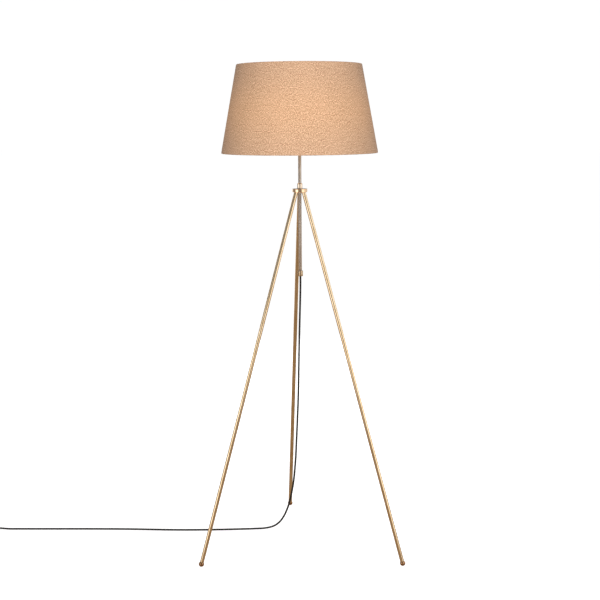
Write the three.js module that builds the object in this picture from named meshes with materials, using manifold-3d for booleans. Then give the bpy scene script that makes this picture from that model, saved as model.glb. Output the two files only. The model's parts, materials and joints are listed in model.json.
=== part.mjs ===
// Tripod floor lamp. Three tube legs on ball feet carry a hub. A column slides and turns in the hub's
// clamping gland, and holds a lampholder, a bulb and a tapered fabric shade. The mains lead leaves the
// bottom of the column, hangs to the floor and runs to a foot switch, a tied coil and a plug.
// Millimetres, +Z up, standing on z = 0.
import * as THREE from "three";
import { mergeVertices } from "three/addons/utils/BufferGeometryUtils.js";
import Module from "manifold-3d";

const wasm = await Module();
wasm.setup();

// ---------- driving dimensions ----------

const GAP = 0.3; // left between pieces that touch
const HEIGHT = 1500; // floor to the top of the shade

const SHADE = { bottom: 1238.5, topRadius: 187, bottomRadius: 236, skin: 0.8, liner: 0.8, wire: 1.5 };
const HUB = { bottom: 1121.5, top: 1131.5, radius: 23, bore: 6.3 };
const LEG = { footCircle: 353, hubCircle: 13.5, radius: 6, bore: 5, stud: 2.5 };
const LEG_AZIMUTHS = { left: 210, right: 330, back: 97 };
const BALL = { radius: 8.25, flat: 4 };
const COLUMN = { bottom: 870.3, radius: 5, bore: 4 };
const GRIP = { bottom: 864.6, top: 881, radius: 8 };
const HOLDER = 1252; // height of the bottom of the lampholder
const CORD = 3; // radius of the lead
const LYING = CORD + 0.1; // height of the lead's middle where it lies on the floor
const SWITCH = { x: -1064, length: 70, width: 34, corner: 10, split: 10, top: 20, cordZ: 6 };
const COIL = { x: -1192, innerRadius: 25.5, outerRadius: 37.5, bottom: 1.1, top: 13.1 };
const PLUG = { rear: -1106, length: 36, width: 35.3, height: 13.7, pin: 2, pinLength: 19, pitch: 18.6 };

const ROUND = 32; // sides of small turned pieces
const WIDE = 72; // sides of the shade and its rings

// ---------- materials ----------

function finish(color, metalness, roughness) {
  return new THREE.MeshStandardMaterial({ color, metalness, roughness });
}

const BRASS = finish(0xb9905c, 1, 0.28);
const DARK_BRASS = finish(0x8a6040, 1, 0.22);
const PALE_BRASS = finish(0xb8a48f, 1, 0.3);
const STEEL = finish(0x9a9a98, 1, 0.4);
const WIRE_WHITE = finish(0xe6e2da, 0, 0.5);
const LINEN = finish(0xe9c9a8, 0, 0.95);
const LINING = finish(0xf4ead8, 0, 0.6);
const BLACK_PLASTIC = finish(0x1d1b1a, 0, 0.45);
const CHARCOAL_CORD = finish(0x2b2826, 0, 0.6);
const PORCELAIN = finish(0xf0eee8, 0, 0.25);
const OPAL = finish(0xfff0d8, 0, 0.3);
const WHITE_PLASTIC = finish(0xecebe6, 0, 0.4);
const BLUE_WIRE = finish(0x2f5f9c, 0, 0.5);
const BROWN_WIRE = finish(0x6a432a, 0, 0.5);

// ---------- helpers ----------

const lamp = new THREE.Group();

function add(name, geometry, material) {
  const mesh = new THREE.Mesh(geometry, material);
  mesh.name = name;
  lamp.add(mesh);
}

// A piece turned about the Z axis from [radius, height] points, which run up the outside.
function turned(points, base = 0, sides = ROUND) {
  const profile = points.map(([radius, z]) => new THREE.Vector2(radius, base + z));
  return new THREE.LatheGeometry(profile, sides).rotateX(Math.PI / 2);
}

// The same for a piece with a hole through it: its outline closes on itself.
function turnedRing(points, base = 0, sides = ROUND) {
  return turned([...points, points[0]], base, sides);
}

function tubeRing(inner, outer, low, high, sides = ROUND) {
  return turnedRing([[inner, low], [outer, low], [outer, high], [inner, high]], 0, sides);
}

function rod(radius, low, high, sides = ROUND) {
  return turned([[0, low], [radius, low], [radius, high], [0, high]], 0, sides);
}

function block(x, y, z, width, depth, height) {
  return new THREE.BoxGeometry(width, depth, height).translate(x, y, z);
}

// A round bar along a smooth path through the points.
function bar(points, radius, steps, sides = 8) {
  const corners = Array.from({ length: sides }, (_, i) => {
    const angle = (2 * Math.PI * i) / sides;
    return new THREE.Vector2(radius * Math.cos(angle), radius * Math.sin(angle));
  });
  const path = new THREE.CatmullRomCurve3(points.map((p) => new THREE.Vector3(...p)), false, "centripetal");
  return new THREE.ExtrudeGeometry(new THREE.Shape(corners), { steps, extrudePath: path });
}

// A flat plate with round corners, standing up from z = low to z = high.
function roundedPlate(width, depth, corner, low, high) {
  const x = width / 2;
  const y = depth / 2;
  const outline = new THREE.Shape();
  outline.moveTo(-x + corner, -y);
  outline.lineTo(x - corner, -y);
  outline.absarc(x - corner, -y + corner, corner, -Math.PI / 2, 0);
  outline.lineTo(x, y - corner);
  outline.absarc(x - corner, y - corner, corner, 0, Math.PI / 2);
  outline.lineTo(-x + corner, y);
  outline.absarc(-x + corner, y - corner, corner, Math.PI / 2, Math.PI);
  outline.lineTo(-x, -y + corner);
  outline.absarc(-x + corner, -y + corner, corner, Math.PI, Math.PI * 1.5);
  const options = { depth: high - low, bevelEnabled: false, curveSegments: 6 };
  return new THREE.ExtrudeGeometry(outline, options).translate(0, 0, low);
}

function solidOf(geometry) {
  const bare = new THREE.BufferGeometry().setAttribute("position", geometry.getAttribute("position"));
  if (geometry.index) bare.setIndex(geometry.index);
  const merged = mergeVertices(bare, 1e-3);
  const vertProperties = merged.attributes.position.array;
  const triVerts = new Uint32Array(merged.index.array);
  return new wasm.Manifold(new wasm.Mesh({ numProp: 3, vertProperties, triVerts }));
}

function geometryOf(solid) {
  const { vertProperties, triVerts } = solid.getMesh();
  const geometry = new THREE.BufferGeometry();
  geometry.setAttribute("position", new THREE.BufferAttribute(vertProperties, 3));
  geometry.setIndex(new THREE.BufferAttribute(triVerts, 1));
  const flat = geometry.toNonIndexed();
  flat.computeVertexNormals();
  return flat;
}

function cut(geometry, ...tools) {
  return geometryOf(tools.reduce((rest, tool) => rest.subtract(solidOf(tool)), solidOf(geometry)));
}

function join(geometry, ...others) {
  return geometryOf(others.reduce((sum, other) => sum.add(solidOf(other)), solidOf(geometry)));
}

// ---------- tripod ----------

// Height of a ball foot's centre: the ball is cut flat where it stands.
const BALL_Z = Math.sqrt(BALL.radius ** 2 - BALL.flat ** 2);

// Each leg is made upright from its ball's centre and then leant over to reach the hub.
function legPlace(azimuth) {
  const angle = THREE.MathUtils.degToRad(azimuth);
  const outward = new THREE.Vector3(Math.cos(angle), Math.sin(angle), 0);
  const foot = outward.clone().multiplyScalar(LEG.footCircle).setZ(BALL_Z);
  const top = outward.clone().multiplyScalar(LEG.hubCircle).setZ(HUB.bottom);
  const along = top.clone().sub(foot);
  const length = along.length();
  const turn = new THREE.Quaternion().setFromUnitVectors(new THREE.Vector3(0, 0, 1), along.normalize());
  const matrix = new THREE.Matrix4().compose(foot, turn, new THREE.Vector3(1, 1, 1));
  return { length, matrix };
}

const STUD_REACH = 6; // how far a leg stud goes up into the hub plate
const SEAT = Math.sqrt(BALL.radius ** 2 - LEG.radius ** 2); // ball centre to the flat the tube stands on
const INSERT = 20; // length of the threaded plugs in a tube's ends

function legTube(length, matrix) {
  const tube = tubeRing(LEG.bore, LEG.radius, SEAT + GAP, length + 8).applyMatrix4(matrix);
  const above = block(0, 0, HUB.bottom - GAP + 50, 100, 100, 100);
  return cut(tube, above);
}

function ballFoot(matrix) {
  const steps = 9;
  const start = -Math.PI / 2;
  const end = Math.acos(LEG.radius / BALL.radius);
  const arc = Array.from({ length: steps + 1 }, (_, i) => {
    const angle = start + ((end - start) * i) / steps;
    return [BALL.radius * Math.cos(angle), BALL.radius * Math.sin(angle)];
  });
  arc[0][0] = 0;
  const shoulder = LEG.bore - GAP;
  const lift = SEAT + 2;
  const stud = [[shoulder, SEAT], [shoulder, lift], [LEG.stud, lift], [LEG.stud, SEAT + 16], [0, SEAT + 16]];
  const ball = turned([...arc, ...stud], 0, 20).applyMatrix4(matrix);
  const floor = block(0, 0, -50, 1000, 1000, 100);
  return cut(ball, floor);
}

for (const [side, azimuth] of Object.entries(LEG_AZIMUTHS)) {
  const { length, matrix } = legPlace(azimuth);
  const plug = LEG.bore - GAP;
  const thread = LEG.stud + GAP;
  const place = (geometry) => geometry.applyMatrix4(matrix);
  add(`leg_${side}_tube`, legTube(length, matrix), BRASS);
  add(`leg_${side}_top_insert`, place(tubeRing(thread, plug, length - 2 - INSERT, length - 2)), STEEL);
  add(`leg_${side}_top_stud`, place(rod(LEG.stud, length - INSERT, length + STUD_REACH, 16)), STEEL);
  add(`leg_${side}_foot_insert`, place(tubeRing(thread, plug, SEAT + 2.5, SEAT + 2.5 + INSERT)), STEEL);
  add(`leg_${side}_foot_ball`, ballFoot(matrix), DARK_BRASS);
}

// ---------- hub and gland ----------

function hubPlate() {
  const edge = 0.8;
  const height = HUB.top - HUB.bottom;
  const outline = [
    [HUB.bore, 0],
    [HUB.radius - edge, 0],
    [HUB.radius, edge],
    [HUB.radius, height - edge],
    [HUB.radius - edge, height],
    [HUB.bore, height],
  ];
  const holes = Object.values(LEG_AZIMUTHS).map((azimuth) => {
    const { length, matrix } = legPlace(azimuth);
    return rod(LEG.stud + GAP, length - 5, length + STUD_REACH + 1, 16).applyMatrix4(matrix);
  });
  return cut(turnedRing(outline, HUB.bottom, 48), ...holes);
}

const GLAND = { bore: 5.15, spigot: 6, collar: 8.1, thread: 6.9, recess: 6.2, height: 11 };

function glandBody() {
  const outline = [
    [GLAND.bore, HUB.bottom - HUB.top - 4],
    [GLAND.spigot, HUB.bottom - HUB.top - 4],
    [GLAND.spigot, GAP],
    [GLAND.collar, GAP],
    [GLAND.collar, 2.3],
    [GLAND.thread, 2.3],
    [GLAND.thread, GLAND.height],
    [GLAND.recess, GLAND.height],
    [GLAND.recess, 6],
    [GLAND.bore, 4.5],
  ];
  return turnedRing(outline, HUB.top);
}

// The split ring that the gland nut closes on the column.
function glandFerrule() {
  const slit = 0.15;
  const outline = new THREE.Shape();
  outline.absarc(0, 0, GLAND.recess - GAP, slit, 2 * Math.PI - slit);
  outline.absarc(0, 0, GLAND.bore, 2 * Math.PI - slit, slit, true);
  const options = { depth: 6, bevelEnabled: false, curveSegments: 16 };
  return new THREE.ExtrudeGeometry(outline, options).translate(0, 0, HUB.top + 6 + GAP);
}

function glandNut() {
  const thread = GLAND.thread + GAP;
  const outline = [
    [thread, 2.6],
    [GLAND.collar, 2.6],
    [GLAND.collar, 14.7],
    [GLAND.collar - 0.7, 16],
    [GLAND.collar - 1.8, 16.5],
    [GLAND.bore + 0.15, 16.5],
    [GLAND.bore + 0.15, 12.8],
    [thread, 12.8],
  ];
  return turnedRing(outline, HUB.top);
}

add("hub_plate", hubPlate(), BRASS);
add("gland_body", glandBody(), PALE_BRASS);
add("gland_ferrule", glandFerrule(), WHITE_PLASTIC);
add("gland_nut", glandNut(), PALE_BRASS);

// ---------- column and cord grip ----------

const GRIP_FLOOR = COLUMN.bottom - GAP; // the column tube stands on this step inside the grip
const SCREW = { radius: 1.3, inner: CORD + 0.6 };

function cordGrip() {
  const cordHole = CORD + GAP;
  const edge = 0.8;
  const outline = [
    [cordHole, GRIP.bottom],
    [GRIP.radius - edge, GRIP.bottom],
    [GRIP.radius, GRIP.bottom + edge],
    [GRIP.radius, GRIP.top - edge],
    [GRIP.radius - edge, GRIP.top],
    [COLUMN.radius + GAP, GRIP.top],
    [COLUMN.radius + GAP, GRIP_FLOOR],
    [cordHole, GRIP_FLOOR],
  ];
  return cut(turnedRing(outline), gripScrew(SCREW.radius + GAP, 0));
}

// The grub screw points in from the back and presses on the lead.
function gripScrew(radius, inner) {
  const middle = (GRIP.bottom + GRIP_FLOOR) / 2;
  return rod(radius, inner, GRIP.radius, 12).rotateX(-Math.PI / 2).translate(0, 0, middle);
}

// A hexagon nut with flats width apart across its axis.
function hexNut(hole, width, low, high) {
  const nut = new THREE.CylinderGeometry(width / Math.sqrt(3), width / Math.sqrt(3), high - low, 6);
  nut.rotateX(Math.PI / 2).translate(0, 0, (low + high) / 2);
  return cut(nut, rod(hole, low - 1, high + 1));
}

const COLUMN_TOP = HOLDER + 8;
const FLEX_TOP = HOLDER + 9;

add("column_tube", tubeRing(COLUMN.bore, COLUMN.radius, COLUMN.bottom, COLUMN_TOP), PALE_BRASS);
add("column_lock_nut", hexNut(COLUMN.radius + GAP, 14, HOLDER - 3.3, HOLDER - GAP), PALE_BRASS);
add("cord_grip", cordGrip(), PALE_BRASS);
add("cord_grip_screw", gripScrew(SCREW.radius, SCREW.inner), STEEL);
add("inner_flex", rod(CORD, GRIP.bottom + GAP, FLEX_TOP, 12), CHARCOAL_CORD);

// ---------- lampholder ----------

const WIRE = { radius: 1, spread: 8 };
const BLOCK = { low: 19, high: 25, radius: 17.2 };

function holderCap() {
  const hole = COLUMN.radius + GAP;
  const outside = [[hole, 0], [9, 0], [14, 2], [19, 9], [19.5, 12], [19.5, 26]];
  const inside = [[17.8, 26], [17.8, 13], [12, 6], [hole, 5]];
  return turnedRing([...outside, ...inside], HOLDER);
}

function contactBlock() {
  const low = HOLDER + BLOCK.low;
  const high = HOLDER + BLOCK.high;
  const hole = (x) => rod(WIRE.radius + GAP, low - 1, high + 1, 12).translate(x, 0, 0);
  return cut(rod(BLOCK.radius, low, high), hole(-WIRE.spread), hole(WIRE.spread));
}

function coreWire(side) {
  const x = side * WIRE.spread;
  const path = [
    [side * 1.25, 0, FLEX_TOP + 2 * GAP],
    [side * 1.4, 0, FLEX_TOP + 2],
    [side * 4.5, 0, FLEX_TOP + 4.5],
    [side * 7.6, 0, FLEX_TOP + 7],
    [x, 0, FLEX_TOP + 9],
    [x, 0, FLEX_TOP + 11],
    [x, 0, HOLDER + BLOCK.high],
  ];
  return bar(path, WIRE.radius, 16);
}

// A flat spring strip with the given outline in X and Z, folded from sheet of this width.
function strip(points, width) {
  const outline = new THREE.Shape(points.map(([x, z]) => new THREE.Vector2(x, z)));
  const options = { depth: width, bevelEnabled: false };
  return new THREE.ExtrudeGeometry(outline, options)
    .rotateX(Math.PI / 2)
    .translate(0, width / 2, HOLDER + BLOCK.high + GAP);
}

const centreStrip = [[-10, 0], [-4, 0], [3, 4.4], [3, 5.2], [-4.3, 0.8], [-10, 0.8]];
const sideStrip = [[6, 0], [15.2, 0], [15.2, 10], [14.4, 10], [14.4, 0.8], [6, 0.8]];

function holderShell() {
  const outside = [[18, 26.3], [19.5, 26.3], [19.5, 61], [18.5, 62]];
  const inside = [[15.5, 62], [15.5, 60], [16.6, 59], [16.6, 28], [18, 27]];
  return turnedRing([...outside, ...inside], HOLDER);
}

function ringNut(low, high) {
  const edge = 0.6;
  const inner = 19.8;
  const outer = 26;
  const outside = [[outer - edge, low], [outer, low + edge], [outer, high - edge], [outer - edge, high]];
  return turnedRing([[inner, low], ...outside, [inner, high]], HOLDER);
}

const FITTER = { low: 38, high: 40, inner: 20, outer: 28 };

add("lampholder_cap", holderCap(), BLACK_PLASTIC);
add("lampholder_block", contactBlock(), PORCELAIN);
add("lampholder_centre_contact", strip(centreStrip, 5), BRASS);
add("lampholder_side_contact", strip(sideStrip, 4), BRASS);
add("lampholder_thread", tubeRing(13.5, 14.1, HOLDER + 28, HOLDER + 55), BRASS);
add("lampholder_shell", holderShell(), BLACK_PLASTIC);
add("shade_ring_nut_lower", ringNut(FITTER.low - 4.8, FITTER.low - GAP), BLACK_PLASTIC);
add("shade_ring_nut_upper", ringNut(FITTER.high + GAP, FITTER.high + 4.8), BLACK_PLASTIC);
add("live_wire", coreWire(-1), BROWN_WIRE);
add("neutral_wire", coreWire(1), BLUE_WIRE);

// ---------- bulb ----------

function bulbCap() {
  const outside = [[11.5, 36.3], [13.1, 38], [13.1, 57]];
  const inside = [[12.3, 57], [12.3, 38.5], [11, 37.2]];
  return turnedRing([...outside, ...inside], HOLDER);
}

function bulbBase() {
  const outside = [[0, 57.3], [14.5, 57.3], [15, 62.5], [19, 72], [24, 82]];
  return turned([...outside, [22, 83], [0, 83]], HOLDER);
}

function bulbGlobe() {
  const shell = (radius, start) =>
    Array.from({ length: 8 }, (_, i) => {
      const angle = start + ((Math.PI / 2 - start) * i) / 7;
      return [i === 7 ? 0 : radius * Math.cos(angle), 109 + radius * Math.sin(angle)];
    });
  const outside = [[24, 83.3], ...shell(30, -0.45)];
  const inside = shell(28.8, -0.45).reverse();
  return turned([...outside, ...inside, [22.8, 83.3], [24, 83.3]], HOLDER);
}

add("bulb_tip", turned([[0, 30.9], [4, 30.9], [4.5, 31.5], [4.5, 32.7], [0, 32.7]], HOLDER, 16), STEEL);
add("bulb_insulator", turned([[0, 33], [5, 33], [11, 36], [0, 36]], HOLDER, 24), BLACK_PLASTIC);
add("bulb_cap", bulbCap(), STEEL);
add("bulb_base", bulbBase(), WHITE_PLASTIC);
add("bulb_globe", bulbGlobe(), OPAL);

// ---------- shade ----------

const shadeSlope = (SHADE.bottomRadius - SHADE.topRadius) / (HEIGHT - SHADE.bottom);
const shadeRadius = (z) => SHADE.bottomRadius - (z - SHADE.bottom) * shadeSlope;
const WIRE_INSET = SHADE.skin + GAP + SHADE.wire; // fabric's outside to the middle of a ring wire
const LIP = WIRE_INSET + SHADE.wire + 0.5; // how far the turned hem reaches in under the wire

function shadeFabric() {
  const outline = [
    [shadeRadius(SHADE.bottom) - LIP, SHADE.bottom],
    [shadeRadius(SHADE.bottom), SHADE.bottom],
    [shadeRadius(HEIGHT), HEIGHT],
    [shadeRadius(HEIGHT) - LIP, HEIGHT],
    [shadeRadius(HEIGHT) - LIP, HEIGHT - SHADE.skin],
    [shadeRadius(HEIGHT - SHADE.skin) - SHADE.skin, HEIGHT - SHADE.skin],
    [shadeRadius(SHADE.bottom + SHADE.skin) - SHADE.skin, SHADE.bottom + SHADE.skin],
    [shadeRadius(SHADE.bottom) - LIP, SHADE.bottom + SHADE.skin],
  ];
  return turnedRing(outline, 0, WIDE);
}

function shadeLiner() {
  const low = SHADE.bottom + 5.2;
  const high = HEIGHT - 5.2;
  const outer = SHADE.skin + GAP;
  const inner = outer + SHADE.liner;
  const outline = [
    [shadeRadius(low) - inner, low],
    [shadeRadius(low) - outer, low],
    [shadeRadius(high) - outer, high],
    [shadeRadius(high) - inner, high],
  ];
  return turnedRing(outline, 0, WIDE);
}

function wireRing(z) {
  const radius = shadeRadius(z) - WIRE_INSET;
  return new THREE.TorusGeometry(radius, SHADE.wire, 8, WIDE).translate(0, 0, z);
}

// The bottom ring, its three arms and the flat ring that the lampholder's nuts clamp, welded together.
function shadeSpider() {
  const z = SHADE.bottom + SHADE.skin + GAP + SHADE.wire;
  const flatZ = HOLDER + (FITTER.low + FITTER.high) / 2;
  const path = [
    [shadeRadius(z) - WIRE_INSET, 0, z],
    [200, 0, z + 3],
    [60, 0, flatZ - 4],
    [FITTER.outer - 2, 0, flatZ],
  ];
  const arms = [90, 210, 330].map((azimuth) =>
    bar(path, SHADE.wire, 12).rotateZ(THREE.MathUtils.degToRad(azimuth)),
  );
  const fitter = tubeRing(FITTER.inner, FITTER.outer, HOLDER + FITTER.low, HOLDER + FITTER.high);
  return join(wireRing(z), fitter, ...arms);
}

add("shade_fabric", shadeFabric(), LINEN);
add("shade_liner", shadeLiner(), LINING);
add("shade_top_ring", wireRing(HEIGHT - SHADE.skin - GAP - SHADE.wire), WIRE_WHITE);
add("shade_spider", shadeSpider(), WIRE_WHITE);

// ---------- mains lead ----------

const RUN_Y = 127; // the lead lies along this line at its far end
const SLEEVE = 22; // length of a strain relief
const SWITCH_NEAR = SWITCH.x + SWITCH.length / 2;
const SWITCH_FAR = SWITCH.x - SWITCH.length / 2;

// From the cord grip down to the floor.
const hangingRoute = [
  [0, 0, GRIP.bottom - GAP],
  [0, 0, 840],
  [-1.5, 3, 780],
  [-5, 12, 660],
  [-8, 27, 531],
  [-10, 42, 461],
  [-16.3, 62, 324],
  [-20, 75, 253],
  [-26.5, 91, 181],
  [-33.5, 100, 137],
  [-41, 107, 101],
  [-49.5, 112, 73],
  [-60, 115, 49],
  [-74, 117, 28],
  [-92, 118, 14],
  [-118, 118.5, 6.2],
  [-156, 118, 3.9],
  [-206, 116, 3.3],
];

// Along the floor to the foot switch.
const floorRoute = [
  [-206.3, 116, 3.3],
  [-300, 112, LYING],
  [-420, 112, LYING],
  [-560, 120, LYING],
  [-700, 124, LYING],
  [-860, 126, LYING],
  [-940, RUN_Y, LYING],
  [-975, RUN_Y, 3.5],
  [SWITCH_NEAR + SLEEVE + 12, RUN_Y, 5.1],
  [SWITCH_NEAR + SLEEVE + GAP, RUN_Y, SWITCH.cordZ],
];

const COIL_MIDDLE = (COIL.innerRadius + COIL.outerRadius) / 2;
const COIL_Y = RUN_Y - COIL_MIDDLE;
const COIL_MEET = 24.8; // beside the coil's middle, where a straight lead first touches the coil's outside
const LAST_Y = COIL_Y - COIL_MIDDLE;
const PLUG_Z = PLUG.height / 2;

// A tapered strain relief with its wide end at x, which points to -X or +X. The lead meets its tip.
function sleeve(x, y, z, direction) {
  const shape = [[0, GAP], [CORD + 2, GAP], [CORD + 0.9, SLEEVE], [0, SLEEVE]];
  return turned(shape, 0, 16)
    .rotateY((direction * Math.PI) / 2)
    .translate(x, y, z);
}

// From the switch into the coil's lowest turn.
const linkRoute = [
  [SWITCH_FAR - SLEEVE - GAP, RUN_Y, SWITCH.cordZ],
  [SWITCH_FAR - SLEEVE - 10, RUN_Y, 5.3],
  [COIL.x + COIL_MEET + 10, RUN_Y, COIL.bottom + CORD + 0.2],
  [COIL.x + COIL_MEET, RUN_Y, COIL.bottom + CORD],
];

// From the coil's top turn down to the plug.
const endRoute = [
  [COIL.x + COIL_MEET, LAST_Y, COIL.top - CORD],
  [COIL.x + COIL_MEET + 12, LAST_Y, COIL.top - CORD - 0.5],
  [PLUG.rear - SLEEVE - 10, LAST_Y, PLUG_Z + 0.2],
  [PLUG.rear - SLEEVE - GAP, LAST_Y, PLUG_Z],
];

function coilRing() {
  const edge = 2.2;
  const { innerRadius: inner, outerRadius: outer, bottom: low, top: high } = COIL;
  const outline = [
    [inner + edge, low],
    [outer - edge, low],
    [outer, low + edge],
    [outer, high - edge],
    [outer - edge, high],
    [inner + edge, high],
    [inner, high - edge],
    [inner, low + edge],
  ];
  return turnedRing(outline, 0, 40).translate(COIL.x, COIL_Y, 0);
}

// A strap round the coil's bundle, on the side away from the plug.
function coilTie() {
  const thickness = 0.8;
  const span = COIL.outerRadius - COIL.innerRadius + 2 * GAP;
  const outer = roundedPlate(span + 2 * thickness, span + 2 * thickness, 1.5, -3, 3);
  const hole = block(0, 0, 0, span, span, 10);
  return cut(outer, hole)
    .rotateX(Math.PI / 2)
    .translate(COIL.x - COIL_MIDDLE, COIL_Y, (COIL.bottom + COIL.top) / 2);
}

add("cord_hanging", bar(hangingRoute, CORD, 80), CHARCOAL_CORD);
add("cord_floor", bar(floorRoute, CORD, 60), CHARCOAL_CORD);
add("cord_link", bar(linkRoute, CORD, 8), CHARCOAL_CORD);
add("cord_coil", coilRing(), CHARCOAL_CORD);
add("cord_end", bar(endRoute, CORD, 8), CHARCOAL_CORD);
add("coil_tie", coilTie(), BLACK_PLASTIC);

// ---------- foot switch ----------

const BUTTON = { radius: 11, top: 23, travel: 1.5 };

function switchPart(geometry) {
  return geometry.translate(SWITCH.x, RUN_Y, 0);
}

function switchCover() {
  const cover = roundedPlate(SWITCH.length, SWITCH.width, SWITCH.corner, SWITCH.split + GAP, SWITCH.top);
  return cut(cover, rod(BUTTON.radius + GAP, SWITCH.split, SWITCH.top + 1));
}

// The button stops on the switch's base when it is pressed in by its travel.
function switchButton() {
  const low = SWITCH.split + GAP + BUTTON.travel + 0.7;
  return turned([[0, low], [BUTTON.radius, low], [BUTTON.radius, 21.5], [9.5, BUTTON.top], [0, BUTTON.top]]);
}

const switchBase = roundedPlate(SWITCH.length, SWITCH.width, SWITCH.corner, 0, SWITCH.split);

add("switch_sleeve_1", sleeve(SWITCH_NEAR, RUN_Y, SWITCH.cordZ, 1), BLACK_PLASTIC);
add("switch_sleeve_2", sleeve(SWITCH_FAR, RUN_Y, SWITCH.cordZ, -1), BLACK_PLASTIC);
add("switch_base", switchPart(switchBase), BLACK_PLASTIC);
add("switch_cover", switchPart(switchCover()), BLACK_PLASTIC);
add("switch_button", switchPart(switchButton()), BLACK_PLASTIC);

// ---------- plug ----------

// The body is a flat hexagon, as wide as its pins need and narrower at its sides.
function plugBody() {
  const y = PLUG.width / 2;
  const z = PLUG.height / 2;
  const corners = [[-y, 0], [-y + 6, -z], [y - 6, -z], [y, 0], [y - 6, z], [-y + 6, z]];
  const outline = new THREE.Shape(corners.map(([a, b]) => new THREE.Vector2(a, b)));
  const body = new THREE.ExtrudeGeometry(outline, { depth: PLUG.length, bevelEnabled: false });
  return body.rotateX(Math.PI / 2).rotateZ(Math.PI / 2).translate(PLUG.rear, LAST_Y, PLUG_Z);
}

// A pin with a tapered tip, on this side of the plug's middle.
function plugPin(side) {
  const { pin: radius, pinLength: length } = PLUG;
  return turned([[0, 0], [radius, 0], [radius, length - 1.5], [0.8, length], [0, length]], 0, 16)
    .rotateY(Math.PI / 2)
    .translate(PLUG.rear + PLUG.length + GAP, LAST_Y + (side * PLUG.pitch) / 2, PLUG_Z);
}

add("plug_body", plugBody(), BLACK_PLASTIC);
add("plug_sleeve", sleeve(PLUG.rear, LAST_Y, PLUG_Z, -1), BLACK_PLASTIC);
add("plug_pin_1", plugPin(-1), STEEL);
add("plug_pin_2", plugPin(1), STEEL);

// The lamp's own box, without its lead, is centred over the origin.
const backReach = LEG.footCircle * Math.sin(THREE.MathUtils.degToRad(LEG_AZIMUTHS.back)) + BALL.radius;
lamp.position.y = -(backReach - SHADE.bottomRadius) / 2;

export default lamp;
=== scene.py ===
"""Looks of the tripod floor lamp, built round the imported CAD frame. Metres, +Z up.

Turned metal and plastic pieces are remade as smooth lathe work with rounded edges, the shade as woven
linen over its lining and wires, and the lead as one tube from the cord grip to the plug.
"""

import json
from math import acos, cos, hypot, pi, radians, sin, sqrt

import bmesh
import bpy
from mathutils import Matrix, Vector


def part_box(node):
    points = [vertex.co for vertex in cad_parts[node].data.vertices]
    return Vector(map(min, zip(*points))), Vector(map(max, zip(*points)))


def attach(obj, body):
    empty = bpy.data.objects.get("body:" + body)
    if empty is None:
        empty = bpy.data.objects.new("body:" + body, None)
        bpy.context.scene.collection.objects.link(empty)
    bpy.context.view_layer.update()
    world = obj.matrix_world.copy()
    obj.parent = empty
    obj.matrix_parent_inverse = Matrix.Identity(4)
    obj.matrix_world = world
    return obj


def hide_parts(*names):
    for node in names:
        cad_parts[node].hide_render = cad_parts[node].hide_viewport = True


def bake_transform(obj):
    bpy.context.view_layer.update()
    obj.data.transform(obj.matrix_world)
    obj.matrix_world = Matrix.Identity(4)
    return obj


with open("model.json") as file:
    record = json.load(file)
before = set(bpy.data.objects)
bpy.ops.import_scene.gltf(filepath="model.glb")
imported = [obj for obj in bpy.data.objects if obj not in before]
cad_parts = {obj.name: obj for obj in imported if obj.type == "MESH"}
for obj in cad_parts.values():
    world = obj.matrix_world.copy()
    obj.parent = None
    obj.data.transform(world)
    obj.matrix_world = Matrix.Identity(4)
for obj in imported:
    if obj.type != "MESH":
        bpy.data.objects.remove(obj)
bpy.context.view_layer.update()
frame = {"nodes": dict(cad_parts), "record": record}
MM = 0.001


def low(node):
    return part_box(node)[0]


def high(node):
    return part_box(node)[1]


def middle(node):
    return (low(node) + high(node)) / 2


def radius_of(node):
    return (high(node).x - low(node).x) / 2


def in_scene(name, data):
    """A new object of this data, linked into the scene."""
    piece = bpy.data.objects.new(name, data)
    bpy.context.collection.objects.link(piece)
    return piece


AXIS = Vector((0, middle("column_tube").y, 0))  # where the column's axis meets the floor
ON_AXIS = Matrix.Translation(AXIS)


# ---------- camera ----------

def make_camera():
    """Stands 3.3 m in front of the column, where the photograph was taken from."""
    camera = in_scene("camera", bpy.data.cameras.new("camera"))
    camera.data.sensor_width = 36
    camera.data.lens = 64.74
    place = Matrix.Translation(AXIS + Vector((0.0172, -3.277, 1.341)))
    turn = Matrix.Rotation(radians(0.333), 4, "Z")
    pitch = Matrix.Rotation(radians(90 - 9.548), 4, "X")
    roll = Matrix.Rotation(radians(-0.377), 4, "Z")
    camera.matrix_world = place @ turn @ pitch @ roll
    bpy.context.scene.camera = camera


# ---------- materials ----------

def linear(red, green, blue):
    """An sRGB colour of 0 to 255 as the linear colour that a shader takes."""
    def channel(value):
        value /= 255
        return value / 12.92 if value <= 0.04045 else ((value + 0.055) / 1.055) ** 2.4
    return (channel(red), channel(green), channel(blue), 1)


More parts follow.
